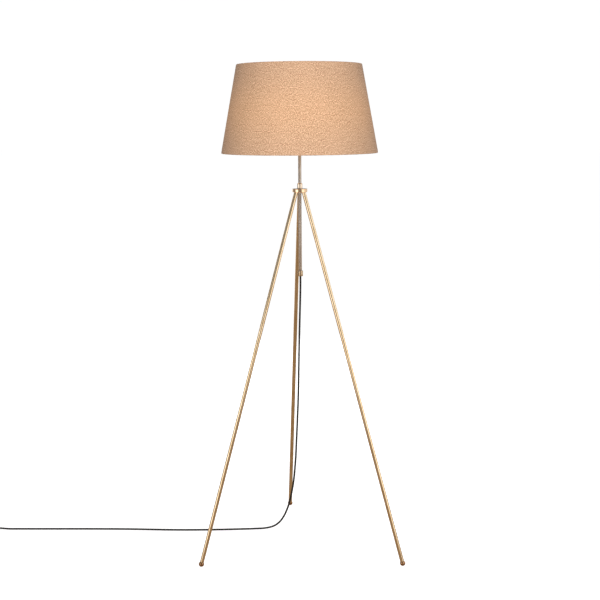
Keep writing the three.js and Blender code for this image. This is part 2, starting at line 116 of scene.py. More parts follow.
class Graph:
    """A material with short calls for the nodes it is made of. A value may be a number or a socket."""

    def __init__(self, name, **surface):
        self.material = bpy.data.materials.new(name)
        self.material.use_nodes = True
        self.tree = self.material.node_tree
        self.shader = self.tree.nodes["Principled BSDF"]
        self.surface(**surface)

    def feed(self, socket, value):
        if isinstance(value, bpy.types.NodeSocket):
            self.tree.links.new(value, socket)
        else:
            socket.default_value = value

    def set(self, node, values):
        for key, value in values.items():
            self.feed(node.inputs[key], value)

    def surface(self, **values):
        """Sets inputs of the shader, which are named with an underscore for each space."""
        self.set(self.shader, {key.replace("_", " "): value for key, value in values.items()})

    def place(self, stretch=(1, 1, 1), source="Object", turn=(0, 0, 0)):
        """Object coordinates in metres, or the UV map, turned and then stretched."""
        vector = self.tree.nodes.new("ShaderNodeTexCoord").outputs[source]
        for setting, value in (("Rotation", turn), ("Scale", stretch)):
            mapping = self.tree.nodes.new("ShaderNodeMapping")
            self.set(mapping, {"Vector": vector, setting: value})
            vector = mapping.outputs["Vector"]
        return vector

    def noise(self, vector, scale, detail=2, roughness=0.5):
        node = self.tree.nodes.new("ShaderNodeTexNoise")
        self.set(node, {"Vector": vector, "Scale": scale, "Detail": detail, "Roughness": roughness})
        return node.outputs["Fac"]

    def part(self, vector, axis):
        node = self.tree.nodes.new("ShaderNodeSeparateXYZ")
        self.set(node, {"Vector": vector})
        return node.outputs[axis]

    def math(self, operation, a, b=0.0):
        node = self.tree.nodes.new("ShaderNodeMath")
        node.operation = operation
        for socket, value in zip(node.inputs, (a, b)):
            self.feed(socket, value)
        return node.outputs["Value"]

    def mixed(self, *parts):
        """The sum of values that each come with a weight."""
        total = 0.0
        for value, weight in parts:
            total = self.math("ADD", self.math("MULTIPLY", value, weight), total)
        return total

    def bell(self, centre, width):
        """1 at the height centre, and fading away smoothly over width above and below it."""
        rise = self.math("SUBTRACT", self.part(self.place(), "Z"), centre)
        away = self.math("DIVIDE", rise, width)
        squared = self.math("MULTIPLY", away, away)
        return self.math("POWER", 2.718, self.math("MULTIPLY", squared, -1))

    def between(self, value, from_low, from_high, to_low, to_high):
        node = self.tree.nodes.new("ShaderNodeMapRange")
        self.set(node, {"Value": value, "From Min": from_low, "From Max": from_high})
        self.set(node, {"To Min": to_low, "To Max": to_high})
        return node.outputs["Result"]

    def blend(self, factor, first, second, kind="MIX"):
        node = self.tree.nodes.new("ShaderNodeMix")
        node.data_type = "RGBA"
        node.blend_type = kind
        sockets = [s for s in node.inputs if s.type == "RGBA"]
        self.set(node, {"Factor": factor})
        for socket, value in zip(sockets, (first, second)):
            self.feed(socket, value)
        return next(s for s in node.outputs if s.type == "RGBA")

    def grey(self, value):
        node = self.tree.nodes.new("ShaderNodeCombineColor")
        self.set(node, {"Red": value, "Green": value, "Blue": value})
        return node.outputs["Color"]

    def bump(self, height, strength, distance):
        node = self.tree.nodes.new("ShaderNodeBump")
        self.set(node, {"Height": height, "Strength": strength, "Distance": distance})
        self.surface(Normal=node.outputs["Normal"])


def metal(name, light, dark, roughness, along=(0, 0, 0), grain=1.0):
    """Lacquered metal, brushed along its Z axis once turned by along, with soft tarnish clouds."""
    graph = Graph(name, Metallic=1.0)
    brushed = graph.noise(graph.place((4200, 4200, 60), turn=along), 1, detail=3, roughness=0.65)
    clouds = graph.noise(graph.place(), 26, detail=4, roughness=0.6)
    specks = graph.noise(graph.place(), 900, detail=1)
    tarnish = graph.between(clouds, 0.35, 0.7, 0.0, 1.0)
    colour = graph.blend(tarnish, linear(*light), linear(*dark))
    streak = graph.between(brushed, 0.3, 0.7, 0.95, 1.03)
    graph.surface(Base_Color=graph.blend(0.6, colour, graph.grey(streak), "MULTIPLY"))
    worn = graph.mixed((brushed, 0.10), (clouds, 0.08), (specks, 0.03))
    graph.surface(Roughness=graph.math("ADD", worn, roughness - 0.105))
    graph.bump(brushed, 0.10 * grain, 0.00004)
    return graph.material


def plastic(name, colour, roughness, texture=0.00003):
    """Moulded plastic with a fine spark-eroded surface."""
    graph = Graph(name, Specular_IOR_Level=0.45)
    grain = graph.noise(graph.place(), 2600, detail=2)
    clouds = graph.noise(graph.place(), 60, detail=3)
    base = linear(*colour)
    lighter = tuple(min(1, c * 1.25 + 0.006) for c in base[:3]) + (1,)
    graph.surface(Base_Color=graph.blend(clouds, base, lighter))
    graph.surface(Roughness=graph.between(clouds, 0.3, 0.7, roughness - 0.05, roughness + 0.05))
    graph.bump(grain, 0.35, texture)
    return graph.material


def lead_sheath():
    """Satin charcoal PVC with faint scuffs and extrusion lines."""
    graph = Graph("lead_sheath", Specular_IOR_Level=0.15)
    lines = graph.noise(graph.place(), 700, detail=2)
    scuffs = graph.noise(graph.place(), 90, detail=5, roughness=0.7)
    worn = graph.between(scuffs, 0.45, 0.75, 0.0, 1.0)
    graph.surface(Base_Color=graph.blend(worn, linear(36, 33, 31), linear(54, 50, 46)))
    graph.surface(Roughness=graph.between(scuffs, 0.3, 0.7, 0.5, 0.66))
    graph.bump(lines, 0.12, 0.00003)
    return graph.material


THREAD = 1.05 * MM  # pitch of the linen's threads


def linen(glow_height):
    """Slubby plain-weave linen in peach beige. The UV map is in metres: round the shade, and up it."""
    graph = Graph("linen_weave", Sheen_Weight=0.06, Sheen_Roughness=0.5, Specular_IOR_Level=0.1)
    place = graph.place(source="UV")
    wander = graph.noise(graph.place((60, 60, 1), "UV"), 1, detail=2)
    drift = graph.math("MULTIPLY", graph.math("SUBTRACT", wander, 0.5), 0.9 * MM)
    around = graph.math("ADD", graph.part(place, "X"), drift)
    upward = graph.math("ADD", graph.part(place, "Y"), drift)
    warp = graph.math("SINE", graph.math("MULTIPLY", around, 2 * pi / THREAD))
    weft = graph.math("SINE", graph.math("MULTIPLY", upward, 2 * pi / THREAD))
    over = graph.math("MULTIPLY", warp, weft)
    gaps = graph.math("MAXIMUM", graph.math("ABSOLUTE", warp), graph.math("ABSOLUTE", weft))

    weft_slubs = graph.noise(graph.place((260, 900, 1), "UV"), 1, detail=2, roughness=0.6)
    warp_slubs = graph.noise(graph.place((900, 80, 1), "UV"), 1, detail=2, roughness=0.6)
    flecks = graph.noise(graph.place((520, 300, 1), "UV"), 1, detail=1, roughness=0.5)
    patches = graph.noise(graph.place((16, 5, 1), "UV"), 1, detail=2)
    slubs = graph.math("MAXIMUM", weft_slubs, warp_slubs)
    mottle = graph.mixed((slubs, 0.4), (flecks, 0.6))
    thick = graph.between(mottle, 0.44, 0.64, 0.0, 1.0)
    threads = graph.blend(thick, linear(166, 116, 85), linear(255, 220, 184))
    cloudy = graph.between(patches, 0.3, 0.7, 0.0, 0.3)
    toned = graph.blend(cloudy, threads, linear(228, 183, 149))
    shadow = graph.between(gaps, 0.2, 0.9, 0.7, 1.0)
    graph.surface(Base_Color=graph.blend(1.0, toned, graph.grey(shadow), "MULTIPLY"))
    graph.surface(Roughness=graph.between(flecks, 0.3, 0.7, 0.82, 0.95))

    # Painted glow: emission in a band at the bulb's height, varied with the weave's mottle, paints the
    # bulb's light coming through the cloth.
    through_cloth = graph.between(mottle, 0.42, 0.66, 0.7, 1.0)
    lit = graph.math("MULTIPLY", graph.bell(glow_height, 0.085), through_cloth)
    graph.surface(Emission_Color=(1, 0.42, 0.06, 1))
    graph.surface(Emission_Strength=graph.math("MULTIPLY", lit, 0.115))
    graph.bump(graph.mixed((over, 0.35), (mottle, 1.6)), 0.55, 0.00022)
    return graph.material


def lining(glow_height):
    """Cream styrene lining, with a painted glow in a band beside the bulb."""
    graph = Graph("shade_lining", Roughness=0.55, Specular_IOR_Level=0.3)
    clouds = graph.noise(graph.place(), 18, detail=3)
    graph.surface(Base_Color=graph.blend(clouds, linear(240, 222, 190), linear(247, 233, 208)))
    # Painted glow: emission in a band at the bulb's height paints the bulb's light falling on the lining.
    lit = graph.math("MULTIPLY", graph.bell(glow_height, 0.1), 0.25)
    graph.surface(Emission_Color=linear(255, 205, 140), Emission_Strength=lit)
    graph.bump(graph.noise(graph.place(), 500, detail=2), 0.15, 0.00005)
    return graph.material


def opal_glow():
    """The lit bulb's frosted globe."""
    graph = Graph("opal_glow", Roughness=0.35)
    clouds = graph.noise(graph.place(), 40, detail=2)
    graph.surface(Base_Color=graph.blend(clouds, linear(250, 240, 220), linear(255, 248, 232)))
    lit = graph.between(clouds, 0.3, 0.7, 1.3, 1.6)
    graph.surface(Emission_Color=linear(255, 214, 158), Emission_Strength=lit)
    return graph.material


BRASS_LIGHT = (222, 199, 166)
BRASS_DARK = (204, 176, 136)
GLOW_HEIGHT = middle("bulb_globe").z

hub_brass = metal("hub_brass", (224, 194, 160), (200, 164, 126), 0.12)
ball_brass = metal("ball_brass", (172, 134, 100), (140, 102, 70), 0.12, grain=0.5)
pale_brass = metal("pale_brass", (202, 186, 169), (194, 177, 160), 0.18)
# The column's brass: rougher and greyer than the pale brass, and darker; the darker colour is painted
# shade for the duller reflection the column shows.
shaded_column_brass = metal("shaded_column_brass", (174, 162, 150), (166, 153, 141), 0.34)
polished_brass = metal("polished_brass", (222, 204, 184), (202, 182, 158), 0.1, grain=0.5)
aged_brass = metal("aged_brass", (184, 162, 134), (158, 134, 104), 0.26)
plain_brass = metal("plain_brass", (214, 178, 110), (186, 146, 84), 0.3)
zinc_steel = metal("zinc_steel", (196, 197, 196), (164, 166, 168), 0.34)
nickel = metal("nickel", (206, 204, 198), (182, 178, 170), 0.2, grain=0.5)
white_epoxy = plastic("white_epoxy", (228, 224, 215), 0.4)
black_plastic = plastic("black_plastic", (34, 32, 31), 0.46)
black_rubber = plastic("black_rubber", (28, 27, 27), 0.6)
white_plastic = plastic("white_plastic", (232, 231, 226), 0.35)
porcelain = plastic("porcelain", (238, 236, 229), 0.2, texture=0.00001)
nylon = plastic("nylon", (224, 221, 212), 0.5)
brown_core = plastic("brown_core", (104, 66, 42), 0.4)
blue_core = plastic("blue_core", (52, 98, 158), 0.4)
sheath = lead_sheath()
linen_weave = linen(GLOW_HEIGHT)
shade_lining = lining(GLOW_HEIGHT)
opal = opal_glow()


# ---------- mesh work ----------

def finish_piece(name, mesh, material, body, nodes, sharp=32):
    """Makes a smooth-shaded piece from a bmesh. It stands for the CAD nodes, and the body carries it."""
    data = bpy.data.meshes.new(name)
    mesh.normal_update()
    mesh.to_mesh(data)
    mesh.free()
    data.materials.append(material)
    data.shade_smooth()
    data.set_sharp_from_angle(angle=radians(sharp))
    piece = in_scene(name, data)
    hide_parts(*nodes)
    if body:
        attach(piece, body)
    return piece


def rounded(outline, radius, steps=3):
    """The closed outline with each corner that is off the axis rounded."""
    points = []
    count = len(outline)
    for i, (r, z) in enumerate(outline):
        before = outline[i - 1]
        after = outline[(i + 1) % count]
        reach_before = min(radius, 0.45 * hypot(r - before[0], z - before[1]))
        reach_after = min(radius, 0.45 * hypot(r - after[0], z - after[1]))
        if r < 1e-6 or min(reach_before, reach_after) < 1e-6:
            points.append((r, z))
            continue
        corner = Vector((r, z))
        start = corner + (Vector(before) - corner).normalized() * reach_before
        end = corner + (Vector(after) - corner).normalized() * reach_after
        for step in range(steps + 1):
            t = step / steps
            points.append(tuple(start * (1 - t) ** 2 + corner * 2 * t * (1 - t) + end * t ** 2))
    return points


def turned_mesh(outline, place=Matrix(), sides=64):
    """A bmesh of the closed outline of (radius, height) points turned about Z."""
    mesh = bmesh.new()
    rings = []
    for i in range(sides):
        angle = 2 * pi * i / sides
        rings.append([mesh.verts.new((r * cos(angle), r * sin(angle), z)) for r, z in outline])
    for ring, following in zip(rings, rings[1:] + rings[:1]):
        for j in range(len(outline)):
            k = (j + 1) % len(outline)
            if max(outline[j][0], outline[k][0]) > 1e-9:
                mesh.faces.new((ring[j], following[j], following[k], ring[k]))
    bmesh.ops.remove_doubles(mesh, verts=mesh.verts, dist=1e-7)
    bmesh.ops.recalc_face_normals(mesh, faces=mesh.faces)
    mesh.transform(place)
    return mesh


def turned(node, outline, material, body, slot, edge=0.4 * MM, place=ON_AXIS, sides=64):
    """A turned piece that stands for a CAD node, with its corners rounded by edge."""
    mesh = turned_mesh(rounded(outline, edge), place, sides)
    finish_piece(node + "_turned", mesh, material, body, (node,))


def smooth_path(points, spacing):
    """A centripetal Catmull-Rom curve through the points, as points about spacing apart."""
    points = [Vector(p) for p in points]
    padded = [points[0] * 2 - points[1], *points, points[-1] * 2 - points[-2]]
    dense = []
    for a, b, c, d in zip(padded, padded[1:], padded[2:], padded[3:]):
        knots = [0.0]
        for p, q in ((a, b), (b, c), (c, d)):
            knots.append(knots[-1] + max((q - p).length, 1e-9) ** 0.5)
        t0, t1, t2, t3 = knots
        pieces = max(2, int((c - b).length / (spacing / 4)))
        for i in range(pieces):
            t = t1 + (t2 - t1) * i / pieces
            ab = a * ((t1 - t) / (t1 - t0)) + b * ((t - t0) / (t1 - t0))
            bc = b * ((t2 - t) / (t2 - t1)) + c * ((t - t1) / (t2 - t1))
            cd = c * ((t3 - t) / (t3 - t2)) + d * ((t - t2) / (t3 - t2))
            abc = ab * ((t2 - t) / (t2 - t0)) + bc * ((t - t0) / (t2 - t0))
            bcd = bc * ((t3 - t) / (t3 - t1)) + cd * ((t - t1) / (t3 - t1))
            dense.append(abc * ((t2 - t) / (t2 - t1)) + bcd * ((t - t1) / (t2 - t1)))
    dense.append(points[-1])
    return evenly(dense, spacing)


def evenly(dense, spacing):
    """Points along a fine polyline, evenly spaced, with both of its ends."""
    total = sum((b - a).length for a, b in zip(dense, dense[1:]))
    count = max(2, round(total / spacing))
    step = total / count
    result = [dense[0].copy()]
    travelled = 0.0
    for a, b in zip(dense, dense[1:]):
        length = (b - a).length
        while len(result) < count and travelled + length >= step * len(result):
            result.append(a.lerp(b, (step * len(result) - travelled) / length))
        travelled += length
    result.append(dense[-1].copy())
    return result


def tube_mesh(path, radius, sides=12, closed=False):
    """A bmesh tube along the points, with flat ends unless it closes on itself."""
    mesh = bmesh.new()
    count = len(path)
    normal = None
    rings = []
    for i, point in enumerate(path):
        before = path[i - 1] if closed or i else path[i]
        after = path[(i + 1) % count] if closed or i < count - 1 else path[i]
        along = (after - before).normalized()
        if normal is None:
            normal = along.orthogonal().normalized()
        normal = (normal - along * normal.dot(along)).normalized()
        side = along.cross(normal)
        ring = []
        for j in range(sides):
            angle = 2 * pi * j / sides
            ring.append(mesh.verts.new(point + (normal * cos(angle) + side * sin(angle)) * radius))
        rings.append(ring)
    skin(mesh, rings, closed)
    return mesh


def skin(mesh, rings, closed=False):
    """Faces from each ring of vertices to the next, and flat ends unless the last joins the first."""
    pairs = list(zip(rings, rings[1:]))
    if closed:
        pairs.append((rings[-1], rings[0]))
    for ring, following in pairs:
        for j in range(len(ring)):
            k = (j + 1) % len(ring)
            mesh.faces.new((ring[j], ring[k], following[k], following[j]))
    if not closed:
        mesh.faces.new(rings[0][::-1])
        mesh.faces.new(rings[-1])


def smooth_step(value, start, end):
    """0 up to start and 1 from end, with an even rise between them."""
    t = min(1, max(0, (value - start) / (end - start)))
    return t * t * (3 - 2 * t)


# ---------- mains lead ----------

GAP = 0.3 * MM  # left in the CAD between pieces that touch
LEAD = radius_of("inner_flex")
TURN_LEVEL = low("cord_coil").z + LEAD  # the middle of the coil's lowest turns
COIL_CENTRE = middle("cord_coil")
PLUG_MIDDLE = middle("plug_body")


def beside_column(x, y, z):
    """A point given in millimetres from the foot of the column's axis."""
    return AXIS + Vector((x, y, z)) * MM


HANGING = [
    (0, 0, 864.3), (0, 0, 840), (-1.5, 3, 780), (-5, 12, 660), (-8, 27, 531), (-10, 42, 461),
    (-16.3, 62, 324), (-20, 75, 253), (-26.5, 91, 181), (-33.5, 100, 137), (-41, 107, 101),
    (-49.5, 112, 73), (-60, 115, 49), (-74, 117, 28), (-92, 118, 14), (-118, 118.5, 6.2),
    (-156, 118, 3.9), (-206, 116, 3.3),
]
ALONG_FLOOR = [
    (-300, 112, 3.1), (-420, 112, 3.1), (-560, 120, 3.1), (-700, 124, 3.1), (-860, 126, 3.1),
    (-940, 127, 3.1), (-975, 127, 3.5), (-995, 127, 5.1), (-1007, 127, 6),
]
THROUGH_SWITCH = [(-1064, 127, 6), (-1121, 127, 6)]
TO_COIL = [(-1131, 127.3, 5.4), (-1160, 129, 4.2)]
TURNS = 2.5


def coil_points():
    """Two turns side by side on the floor and half a turn on top of them, 24 points to a turn."""
    points = []
    outside = radius_of("cord_coil") - LEAD
    steps = round(TURNS * 24)
    for i in range(steps + 1):
        turn = i * TURNS / steps
        inward = smooth_step(turn, 0.82, 0.98)
        upward = smooth_step(turn, 1.55, 1.72)
        outward = smooth_step(turn, 1.62, 1.78)
        radius = outside + LEAD * (outward - 2 * inward)
        angle = pi / 2 + 2 * pi * turn
        x = COIL_CENTRE.x + radius * cos(angle)
        y = COIL_CENTRE.y + radius * sin(angle)
        points.append(Vector((x, y, TURN_LEVEL + 2 * LEAD * upward)))
    return points


def lead_route():
    top = TURN_LEVEL + 2 * LEAD
    leaving = PLUG_MIDDLE.y
    plug_back = low("plug_body").x
    last = [
        Vector((COIL_CENTRE.x + 20 * MM, leaving, top)),
        Vector((COIL_CENTRE.x + 34 * MM, leaving, top - 0.5 * MM)),
        Vector((plug_back - 26 * MM, leaving, PLUG_MIDDLE.z + 0.3 * MM)),
        Vector((plug_back - 12 * MM, leaving, PLUG_MIDDLE.z)),
        Vector((plug_back, leaving, PLUG_MIDDLE.z)),
    ]
    straight = [beside_column(*p) for p in HANGING + ALONG_FLOOR + THROUGH_SWITCH + TO_COIL]
    return smooth_path([*straight, *coil_points(), *last], 4 * MM)


def make_lead():
    route = lead_route()
    nodes = ("cord_hanging", "cord_floor", "cord_link", "cord_coil", "cord_end")
    mesh = tube_mesh(route, LEAD)
    lead = finish_piece("mains_lead", mesh, sheath, None, nodes, sharp=60)
    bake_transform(lead)
    length = sum((b - a).length for a, b in zip(route, route[1:]))
    print("lead length", round(length, 3))
    return lead, route, length


make_camera()
lead, lead_path, lead_length = make_lead()


# ---------- legs and feet ----------

SIDES = ("left", "right", "back")
LEG_RADIUS = 6 * MM
LEG_BORE = 5 * MM
BALL_RADIUS = 8.25 * MM
SEAT = sqrt(BALL_RADIUS ** 2 - LEG_RADIUS ** 2)
BALL_FLAT = 4 * MM
BALL_HEIGHT = sqrt(BALL_RADIUS ** 2 - BALL_FLAT ** 2)
HUB_CIRCLE = 13.5 * MM
STUD = 2.5 * MM


def leg_place(foot):
    """Puts a leg that is made upright from its ball's centre where it leans, and gives its length."""
    outward = (Vector(foot) - AXIS).normalized()
    start = Vector((foot[0], foot[1], BALL_HEIGHT))
    end = AXIS + outward * HUB_CIRCLE
    end.z = low("hub_plate").z
    along = end - start
    turn = Vector((0, 0, 1)).rotation_difference(along).to_matrix().to_4x4()
    return Matrix.Translation(start) @ turn, along.length


def cut_flat(mesh, height, above):
    """Cuts the mesh at a level height, drops what is above or below it, and gives the cut's edges."""
    cut = bmesh.ops.bisect_plane(
        mesh,
        geom=mesh.verts[:] + mesh.edges[:] + mesh.faces[:],
        plane_co=(0, 0, height),
        plane_no=(0, 0, 1),
        clear_outer=above,
        clear_inner=not above,
    )
    return [e for e in cut["geom_cut"] if isinstance(e, bmesh.types.BMEdge)]


def ball_arc(steps=28):
    """From the bottom of the ball up to the flat that the tube stands on."""
    top = acos(LEG_RADIUS / BALL_RADIUS)
    arc = [(0, -BALL_RADIUS)]
    for i in range(1, steps + 1):
        angle = -pi / 2 + (top + pi / 2) * i / steps
        arc.append((BALL_RADIUS * cos(angle), BALL_RADIUS * sin(angle)))
    return arc


def stud_outline():
    """The ball's neck inside the tube and its threaded stud."""
    neck = LEG_BORE - GAP
    shoulder = SEAT + 2 * MM
    tip = SEAT + 16 * MM
    return [(neck, SEAT), (neck, shoulder), (STUD, shoulder), (STUD, tip), (0, tip)]


def make_leg(side):
    foot = next(m["pos_m"] for m in frame["record"]["mounts"] if m["name"] == "foot_" + side)
    place, length = leg_place(foot)
    leaning = place.to_3x3().inverted().to_euler()
    brushed = metal(f"leg_brass_{side}", BRASS_LIGHT, BRASS_DARK, 0.2, along=leaning)

    past_hub = length + 8 * MM
    wall = [
        (LEG_BORE, SEAT + GAP), (LEG_RADIUS - 0.3 * MM, SEAT + GAP), (LEG_RADIUS, SEAT + 2 * GAP),
        (LEG_RADIUS, past_hub), (LEG_BORE, past_hub),
    ]
    tube = turned_mesh(wall, place, 48)
    rim = cut_flat(tube, low("hub_plate").z - GAP, above=True)
    bmesh.ops.bridge_loops(tube, edges=rim)
    finish_piece(f"leg_{side}_smooth", tube, brushed, "tripod", (f"leg_{side}_tube",))

    ball = turned_mesh(ball_arc() + stud_outline(), place, 48)
    rim = cut_flat(ball, 0, above=False)
    bmesh.ops.contextual_create(ball, geom=rim)
    nodes = (f"leg_{side}_foot_ball",)
    finish_piece(f"foot_{side}_smooth", ball, ball_brass, "tripod", nodes)


for leg_side in SIDES:
    make_leg(leg_side)


# ---------- hub, gland and column ----------

CLEAR = 5.3 * MM  # radius of a hole that the column passes through


def make_hub():
    bottom, top, outer = low("hub_plate").z, high("hub_plate").z, radius_of("hub_plate")
    bore = 6.3 * MM
    plate = [(bore, bottom), (outer, bottom), (outer, top), (bore, top)]
    turned("hub_plate", plate, hub_brass, "tripod", "satin_brass", edge=1.1 * MM, sides=96)

    spigot = 6 * MM
    collar = radius_of("gland_body")
    thread = 6.9 * MM
    recess = 6.2 * MM
    running = 5.15 * MM
    below = bottom - 4 * MM
    shoulder = top + 2.3 * MM
    mouth = top + 11 * MM
    gland = [
        (running, below), (spigot, below), (spigot, top + GAP), (collar, top + GAP), (collar, shoulder),
        (thread, shoulder), (thread, mouth), (recess, mouth), (recess, top + 6 * MM),
        (running, top + 4.5 * MM),
    ]
    turned("gland_body", gland, pale_brass, "tripod", "pale_brass")


def make_gland_nut():
    outer, bottom, top = radius_of("gland_nut"), low("gland_nut").z, high("gland_nut").z
    thread = 7.2 * MM
    bevel = 1.8 * MM
    ceiling = top - 3.7 * MM
    nut = [
        (thread, bottom), (outer, bottom), (outer, top - bevel), (outer - bevel, top), (CLEAR, top),
        (CLEAR, ceiling), (thread, ceiling),
    ]
    turned("gland_nut", nut, polished_brass, "gland_nut", "pale_brass", edge=0.7 * MM)


def make_column():
    bottom, top, outer = low("column_tube").z, high("column_tube").z, radius_of("column_tube")
    bore = 4 * MM
    tube = [(bore, bottom), (outer, bottom), (outer, top), (bore, top)]
    turned("column_tube", tube, shaded_column_brass, "column", "pale_brass", edge=0.2 * MM, sides=48)

    bottom, top, outer = low("cord_grip").z, high("cord_grip").z, radius_of("cord_grip")
    step = bottom + 5.4 * MM  # the column tube stands on it
    hole = LEAD + GAP
    grip = [(hole, bottom), (outer, bottom), (outer, top), (CLEAR, top), (CLEAR, step), (hole, step)]
    turned("cord_grip", grip, aged_brass, "column", "pale_brass", edge=0.9 * MM)


make_hub()
make_gland_nut()
make_column()


# ---------- lampholder and bulb ----------

HOLDER = low("lampholder_cap").z


def holder_outline(points):
    return [(r * MM, HOLDER + z * MM) for r, z in points]


def thread_outline(inner, outer, low_z, high_z, pitch=3.6, depth=0.7):
    """A tube wall pressed into the rounded rings of an Edison thread."""
    count = int((high_z - low_z) / pitch * 8)
    heights = [low_z + (high_z - low_z) * i / count for i in range(count + 1)]
    half = depth / 2
    outside = [(outer - half + half * cos(2 * pi * (z - low_z) / pitch), z) for z in heights]
    inside = [(r - (outer - inner), z) for r, z in reversed(outside)]
    return holder_outline(outside + inside)


def make_lampholder():
    cap = holder_outline([
        (5.3, 0), (9, 0), (14, 2), (19, 9), (19.5, 12), (19.5, 26), (17.8, 26), (17.8, 13), (12, 6),
        (5.3, 5),
    ])
    turned("lampholder_cap", cap, black_plastic, "column", "black_plastic", edge=1 * MM)
    shell = holder_outline([
        (18, 26.3), (19.5, 26.3), (19.5, 61), (18.5, 62), (15.5, 62), (15.5, 60), (16.6, 59), (16.6, 28),
        (18, 27),
    ])
    turned("lampholder_shell", shell, black_plastic, "column", "black_plastic", edge=0.6 * MM)
    mesh = turned_mesh(thread_outline(13.5, 14.1, 28, 55, depth=0.5), ON_AXIS)
    nodes = ("lampholder_thread",)
    finish_piece("lampholder_thread_rolled", mesh, plain_brass, "column", nodes)
    for node in ("shade_ring_nut_lower", "shade_ring_nut_upper"):
        bottom, top, outer = low(node).z, high(node).z, radius_of(node)
        thread = 19.8 * MM
        nut = [(thread, bottom), (outer, bottom), (outer, top), (thread, top)]
        turned(node, nut, black_plastic, "column", "black_plastic", edge=1 * MM)


def globe_arc(radius, steps=24):
    """From the globe's mouth up to its top, in millimetres above the lampholder's bottom."""
    mouth = -0.45
    middle_height = 109
    arc = []
    for i in range(steps):
        angle = mouth + (pi / 2 - mouth) * i / steps
        arc.append((radius * cos(angle), middle_height + radius * sin(angle)))
    return [*arc, (0, middle_height + radius)]


def make_bulb():
    mesh = turned_mesh(thread_outline(12.3, 13.1, 38, 57, depth=0.7), ON_AXIS)
    finish_piece("bulb_cap_rolled", mesh, nickel, "column", ("bulb_cap",))
    base = [(0, 57.3), (14.5, 57.3), (15, 62.5), (19, 72), (24, 82), (22, 83), (0, 83)]
    turned("bulb_base", holder_outline(base), white_plastic, "column", "white_plastic", edge=2 * MM)
    outside = [(24, 83.3), *globe_arc(30)]
    inside = [(22.8, 83.3), *globe_arc(28.8)]
    mesh = turned_mesh(holder_outline(outside + inside[::-1]), ON_AXIS, 72)
    nodes = ("bulb_globe",)
    finish_piece("bulb_globe_smooth", mesh, opal, "column", nodes, sharp=50)


make_lampholder()
make_bulb()


# ---------- shade ----------

SHADE_LOW, SHADE_HIGH = low("shade_fabric").z, high("shade_fabric").z
SHADE_BOTTOM_RADIUS = radius_of("shade_fabric")
SHADE_TOP_RADIUS = 187 * MM
CLOTH = 0.8 * MM
WIRE = 1.5 * MM


def shade_radius(z):
    share = (z - SHADE_LOW) / (SHADE_HIGH - SHADE_LOW)
    return SHADE_BOTTOM_RADIUS + (SHADE_TOP_RADIUS - SHADE_BOTTOM_RADIUS) * share


def hem(z, direction, bead):
    """The turned edge round a ring wire: direction is -1 at the bottom and 1 at the top."""
    centre_z = z - direction * bead
    centre_r = shade_radius(centre_z) - bead
    steps = 10
    arc = []
    for i in range(steps + 1):
        angle = direction * pi * i / steps
        arc.append((centre_r + bead * cos(angle), centre_z + bead * sin(angle)))
    return arc


def fabric_outline():
    """Up the outside, over the top wire, down behind it, and back up inside from the bottom wire."""
    bead = WIRE + CLOTH
    wall = []
    for i in range(25):
        z = SHADE_LOW + 3 * bead + (SHADE_HIGH - SHADE_LOW - 6 * bead) * i / 24
        wall.append((shade_radius(z), z))
    low_hem = hem(SHADE_LOW, -1, bead)
    high_hem = hem(SHADE_HIGH, 1, bead)
    outer = low_hem[::-1] + wall + high_hem
    inner_top = [towards_wire(point, SHADE_HIGH, 1, bead) for point in high_hem[::-1]]
    inner_wall = [(r - CLOTH, z) for r, z in wall[::-1]]
    inner_bottom = [towards_wire(point, SHADE_LOW, -1, bead) for point in low_hem]
    return outer + inner_top + inner_wall + inner_bottom


def towards_wire(point, z, direction, bead):
    """A hem point moved in by the cloth's thickness, towards the wire."""
    centre = Vector((shade_radius(z - direction * bead) - bead, z - direction * bead))
    inward = (centre - Vector(point)).normalized() * CLOTH
    return (point[0] + inward.x, point[1] + inward.y)


def make_fabric():
    """The linen, with a UV map in metres round the shade at its mean radius, and up its slope."""
    mesh = turned_mesh(fabric_outline(), ON_AXIS, sides=240)
    layer = mesh.loops.layers.uv.new("weave")
    mean = (SHADE_TOP_RADIUS + SHADE_BOTTOM_RADIUS) / 2
    height = SHADE_HIGH - SHADE_LOW
    slope = hypot(height, SHADE_BOTTOM_RADIUS - SHADE_TOP_RADIUS) / height
    for face in mesh.faces:
        facing = (face.calc_center_median() - AXIS).to_2d()
        base = facing.angle_signed(Vector((0, -1)))
        for loop in face.loops:
            offset = (loop.vert.co - AXIS).to_2d()
            angle = base + offset.angle_signed(facing)
            loop[layer].uv = (angle * mean, (loop.vert.co.z - SHADE_LOW) * slope)
    finish_piece("shade_linen", mesh, linen_weave, "column", ("shade_fabric",), sharp=60)


def make_lining():
    bottom, top = low("shade_liner").z, high("shade_liner").z
    outer, inner = 1.1 * MM, 1.9 * MM
    sheet = [
        (shade_radius(bottom) - inner, bottom), (shade_radius(bottom) - outer, bottom),
        (shade_radius(top) - outer, top), (shade_radius(top) - inner, top),
    ]
    turned("shade_liner", sheet, shade_lining, "column", "lining", edge=0.2 * MM, sides=160)


def circle_path(radius, z, count=160):
    """Points round the column's axis."""
    angles = [2 * pi * i / count for i in range(count)]
    return [AXIS + Vector((radius * cos(angle), radius * sin(angle), z)) for angle in angles]


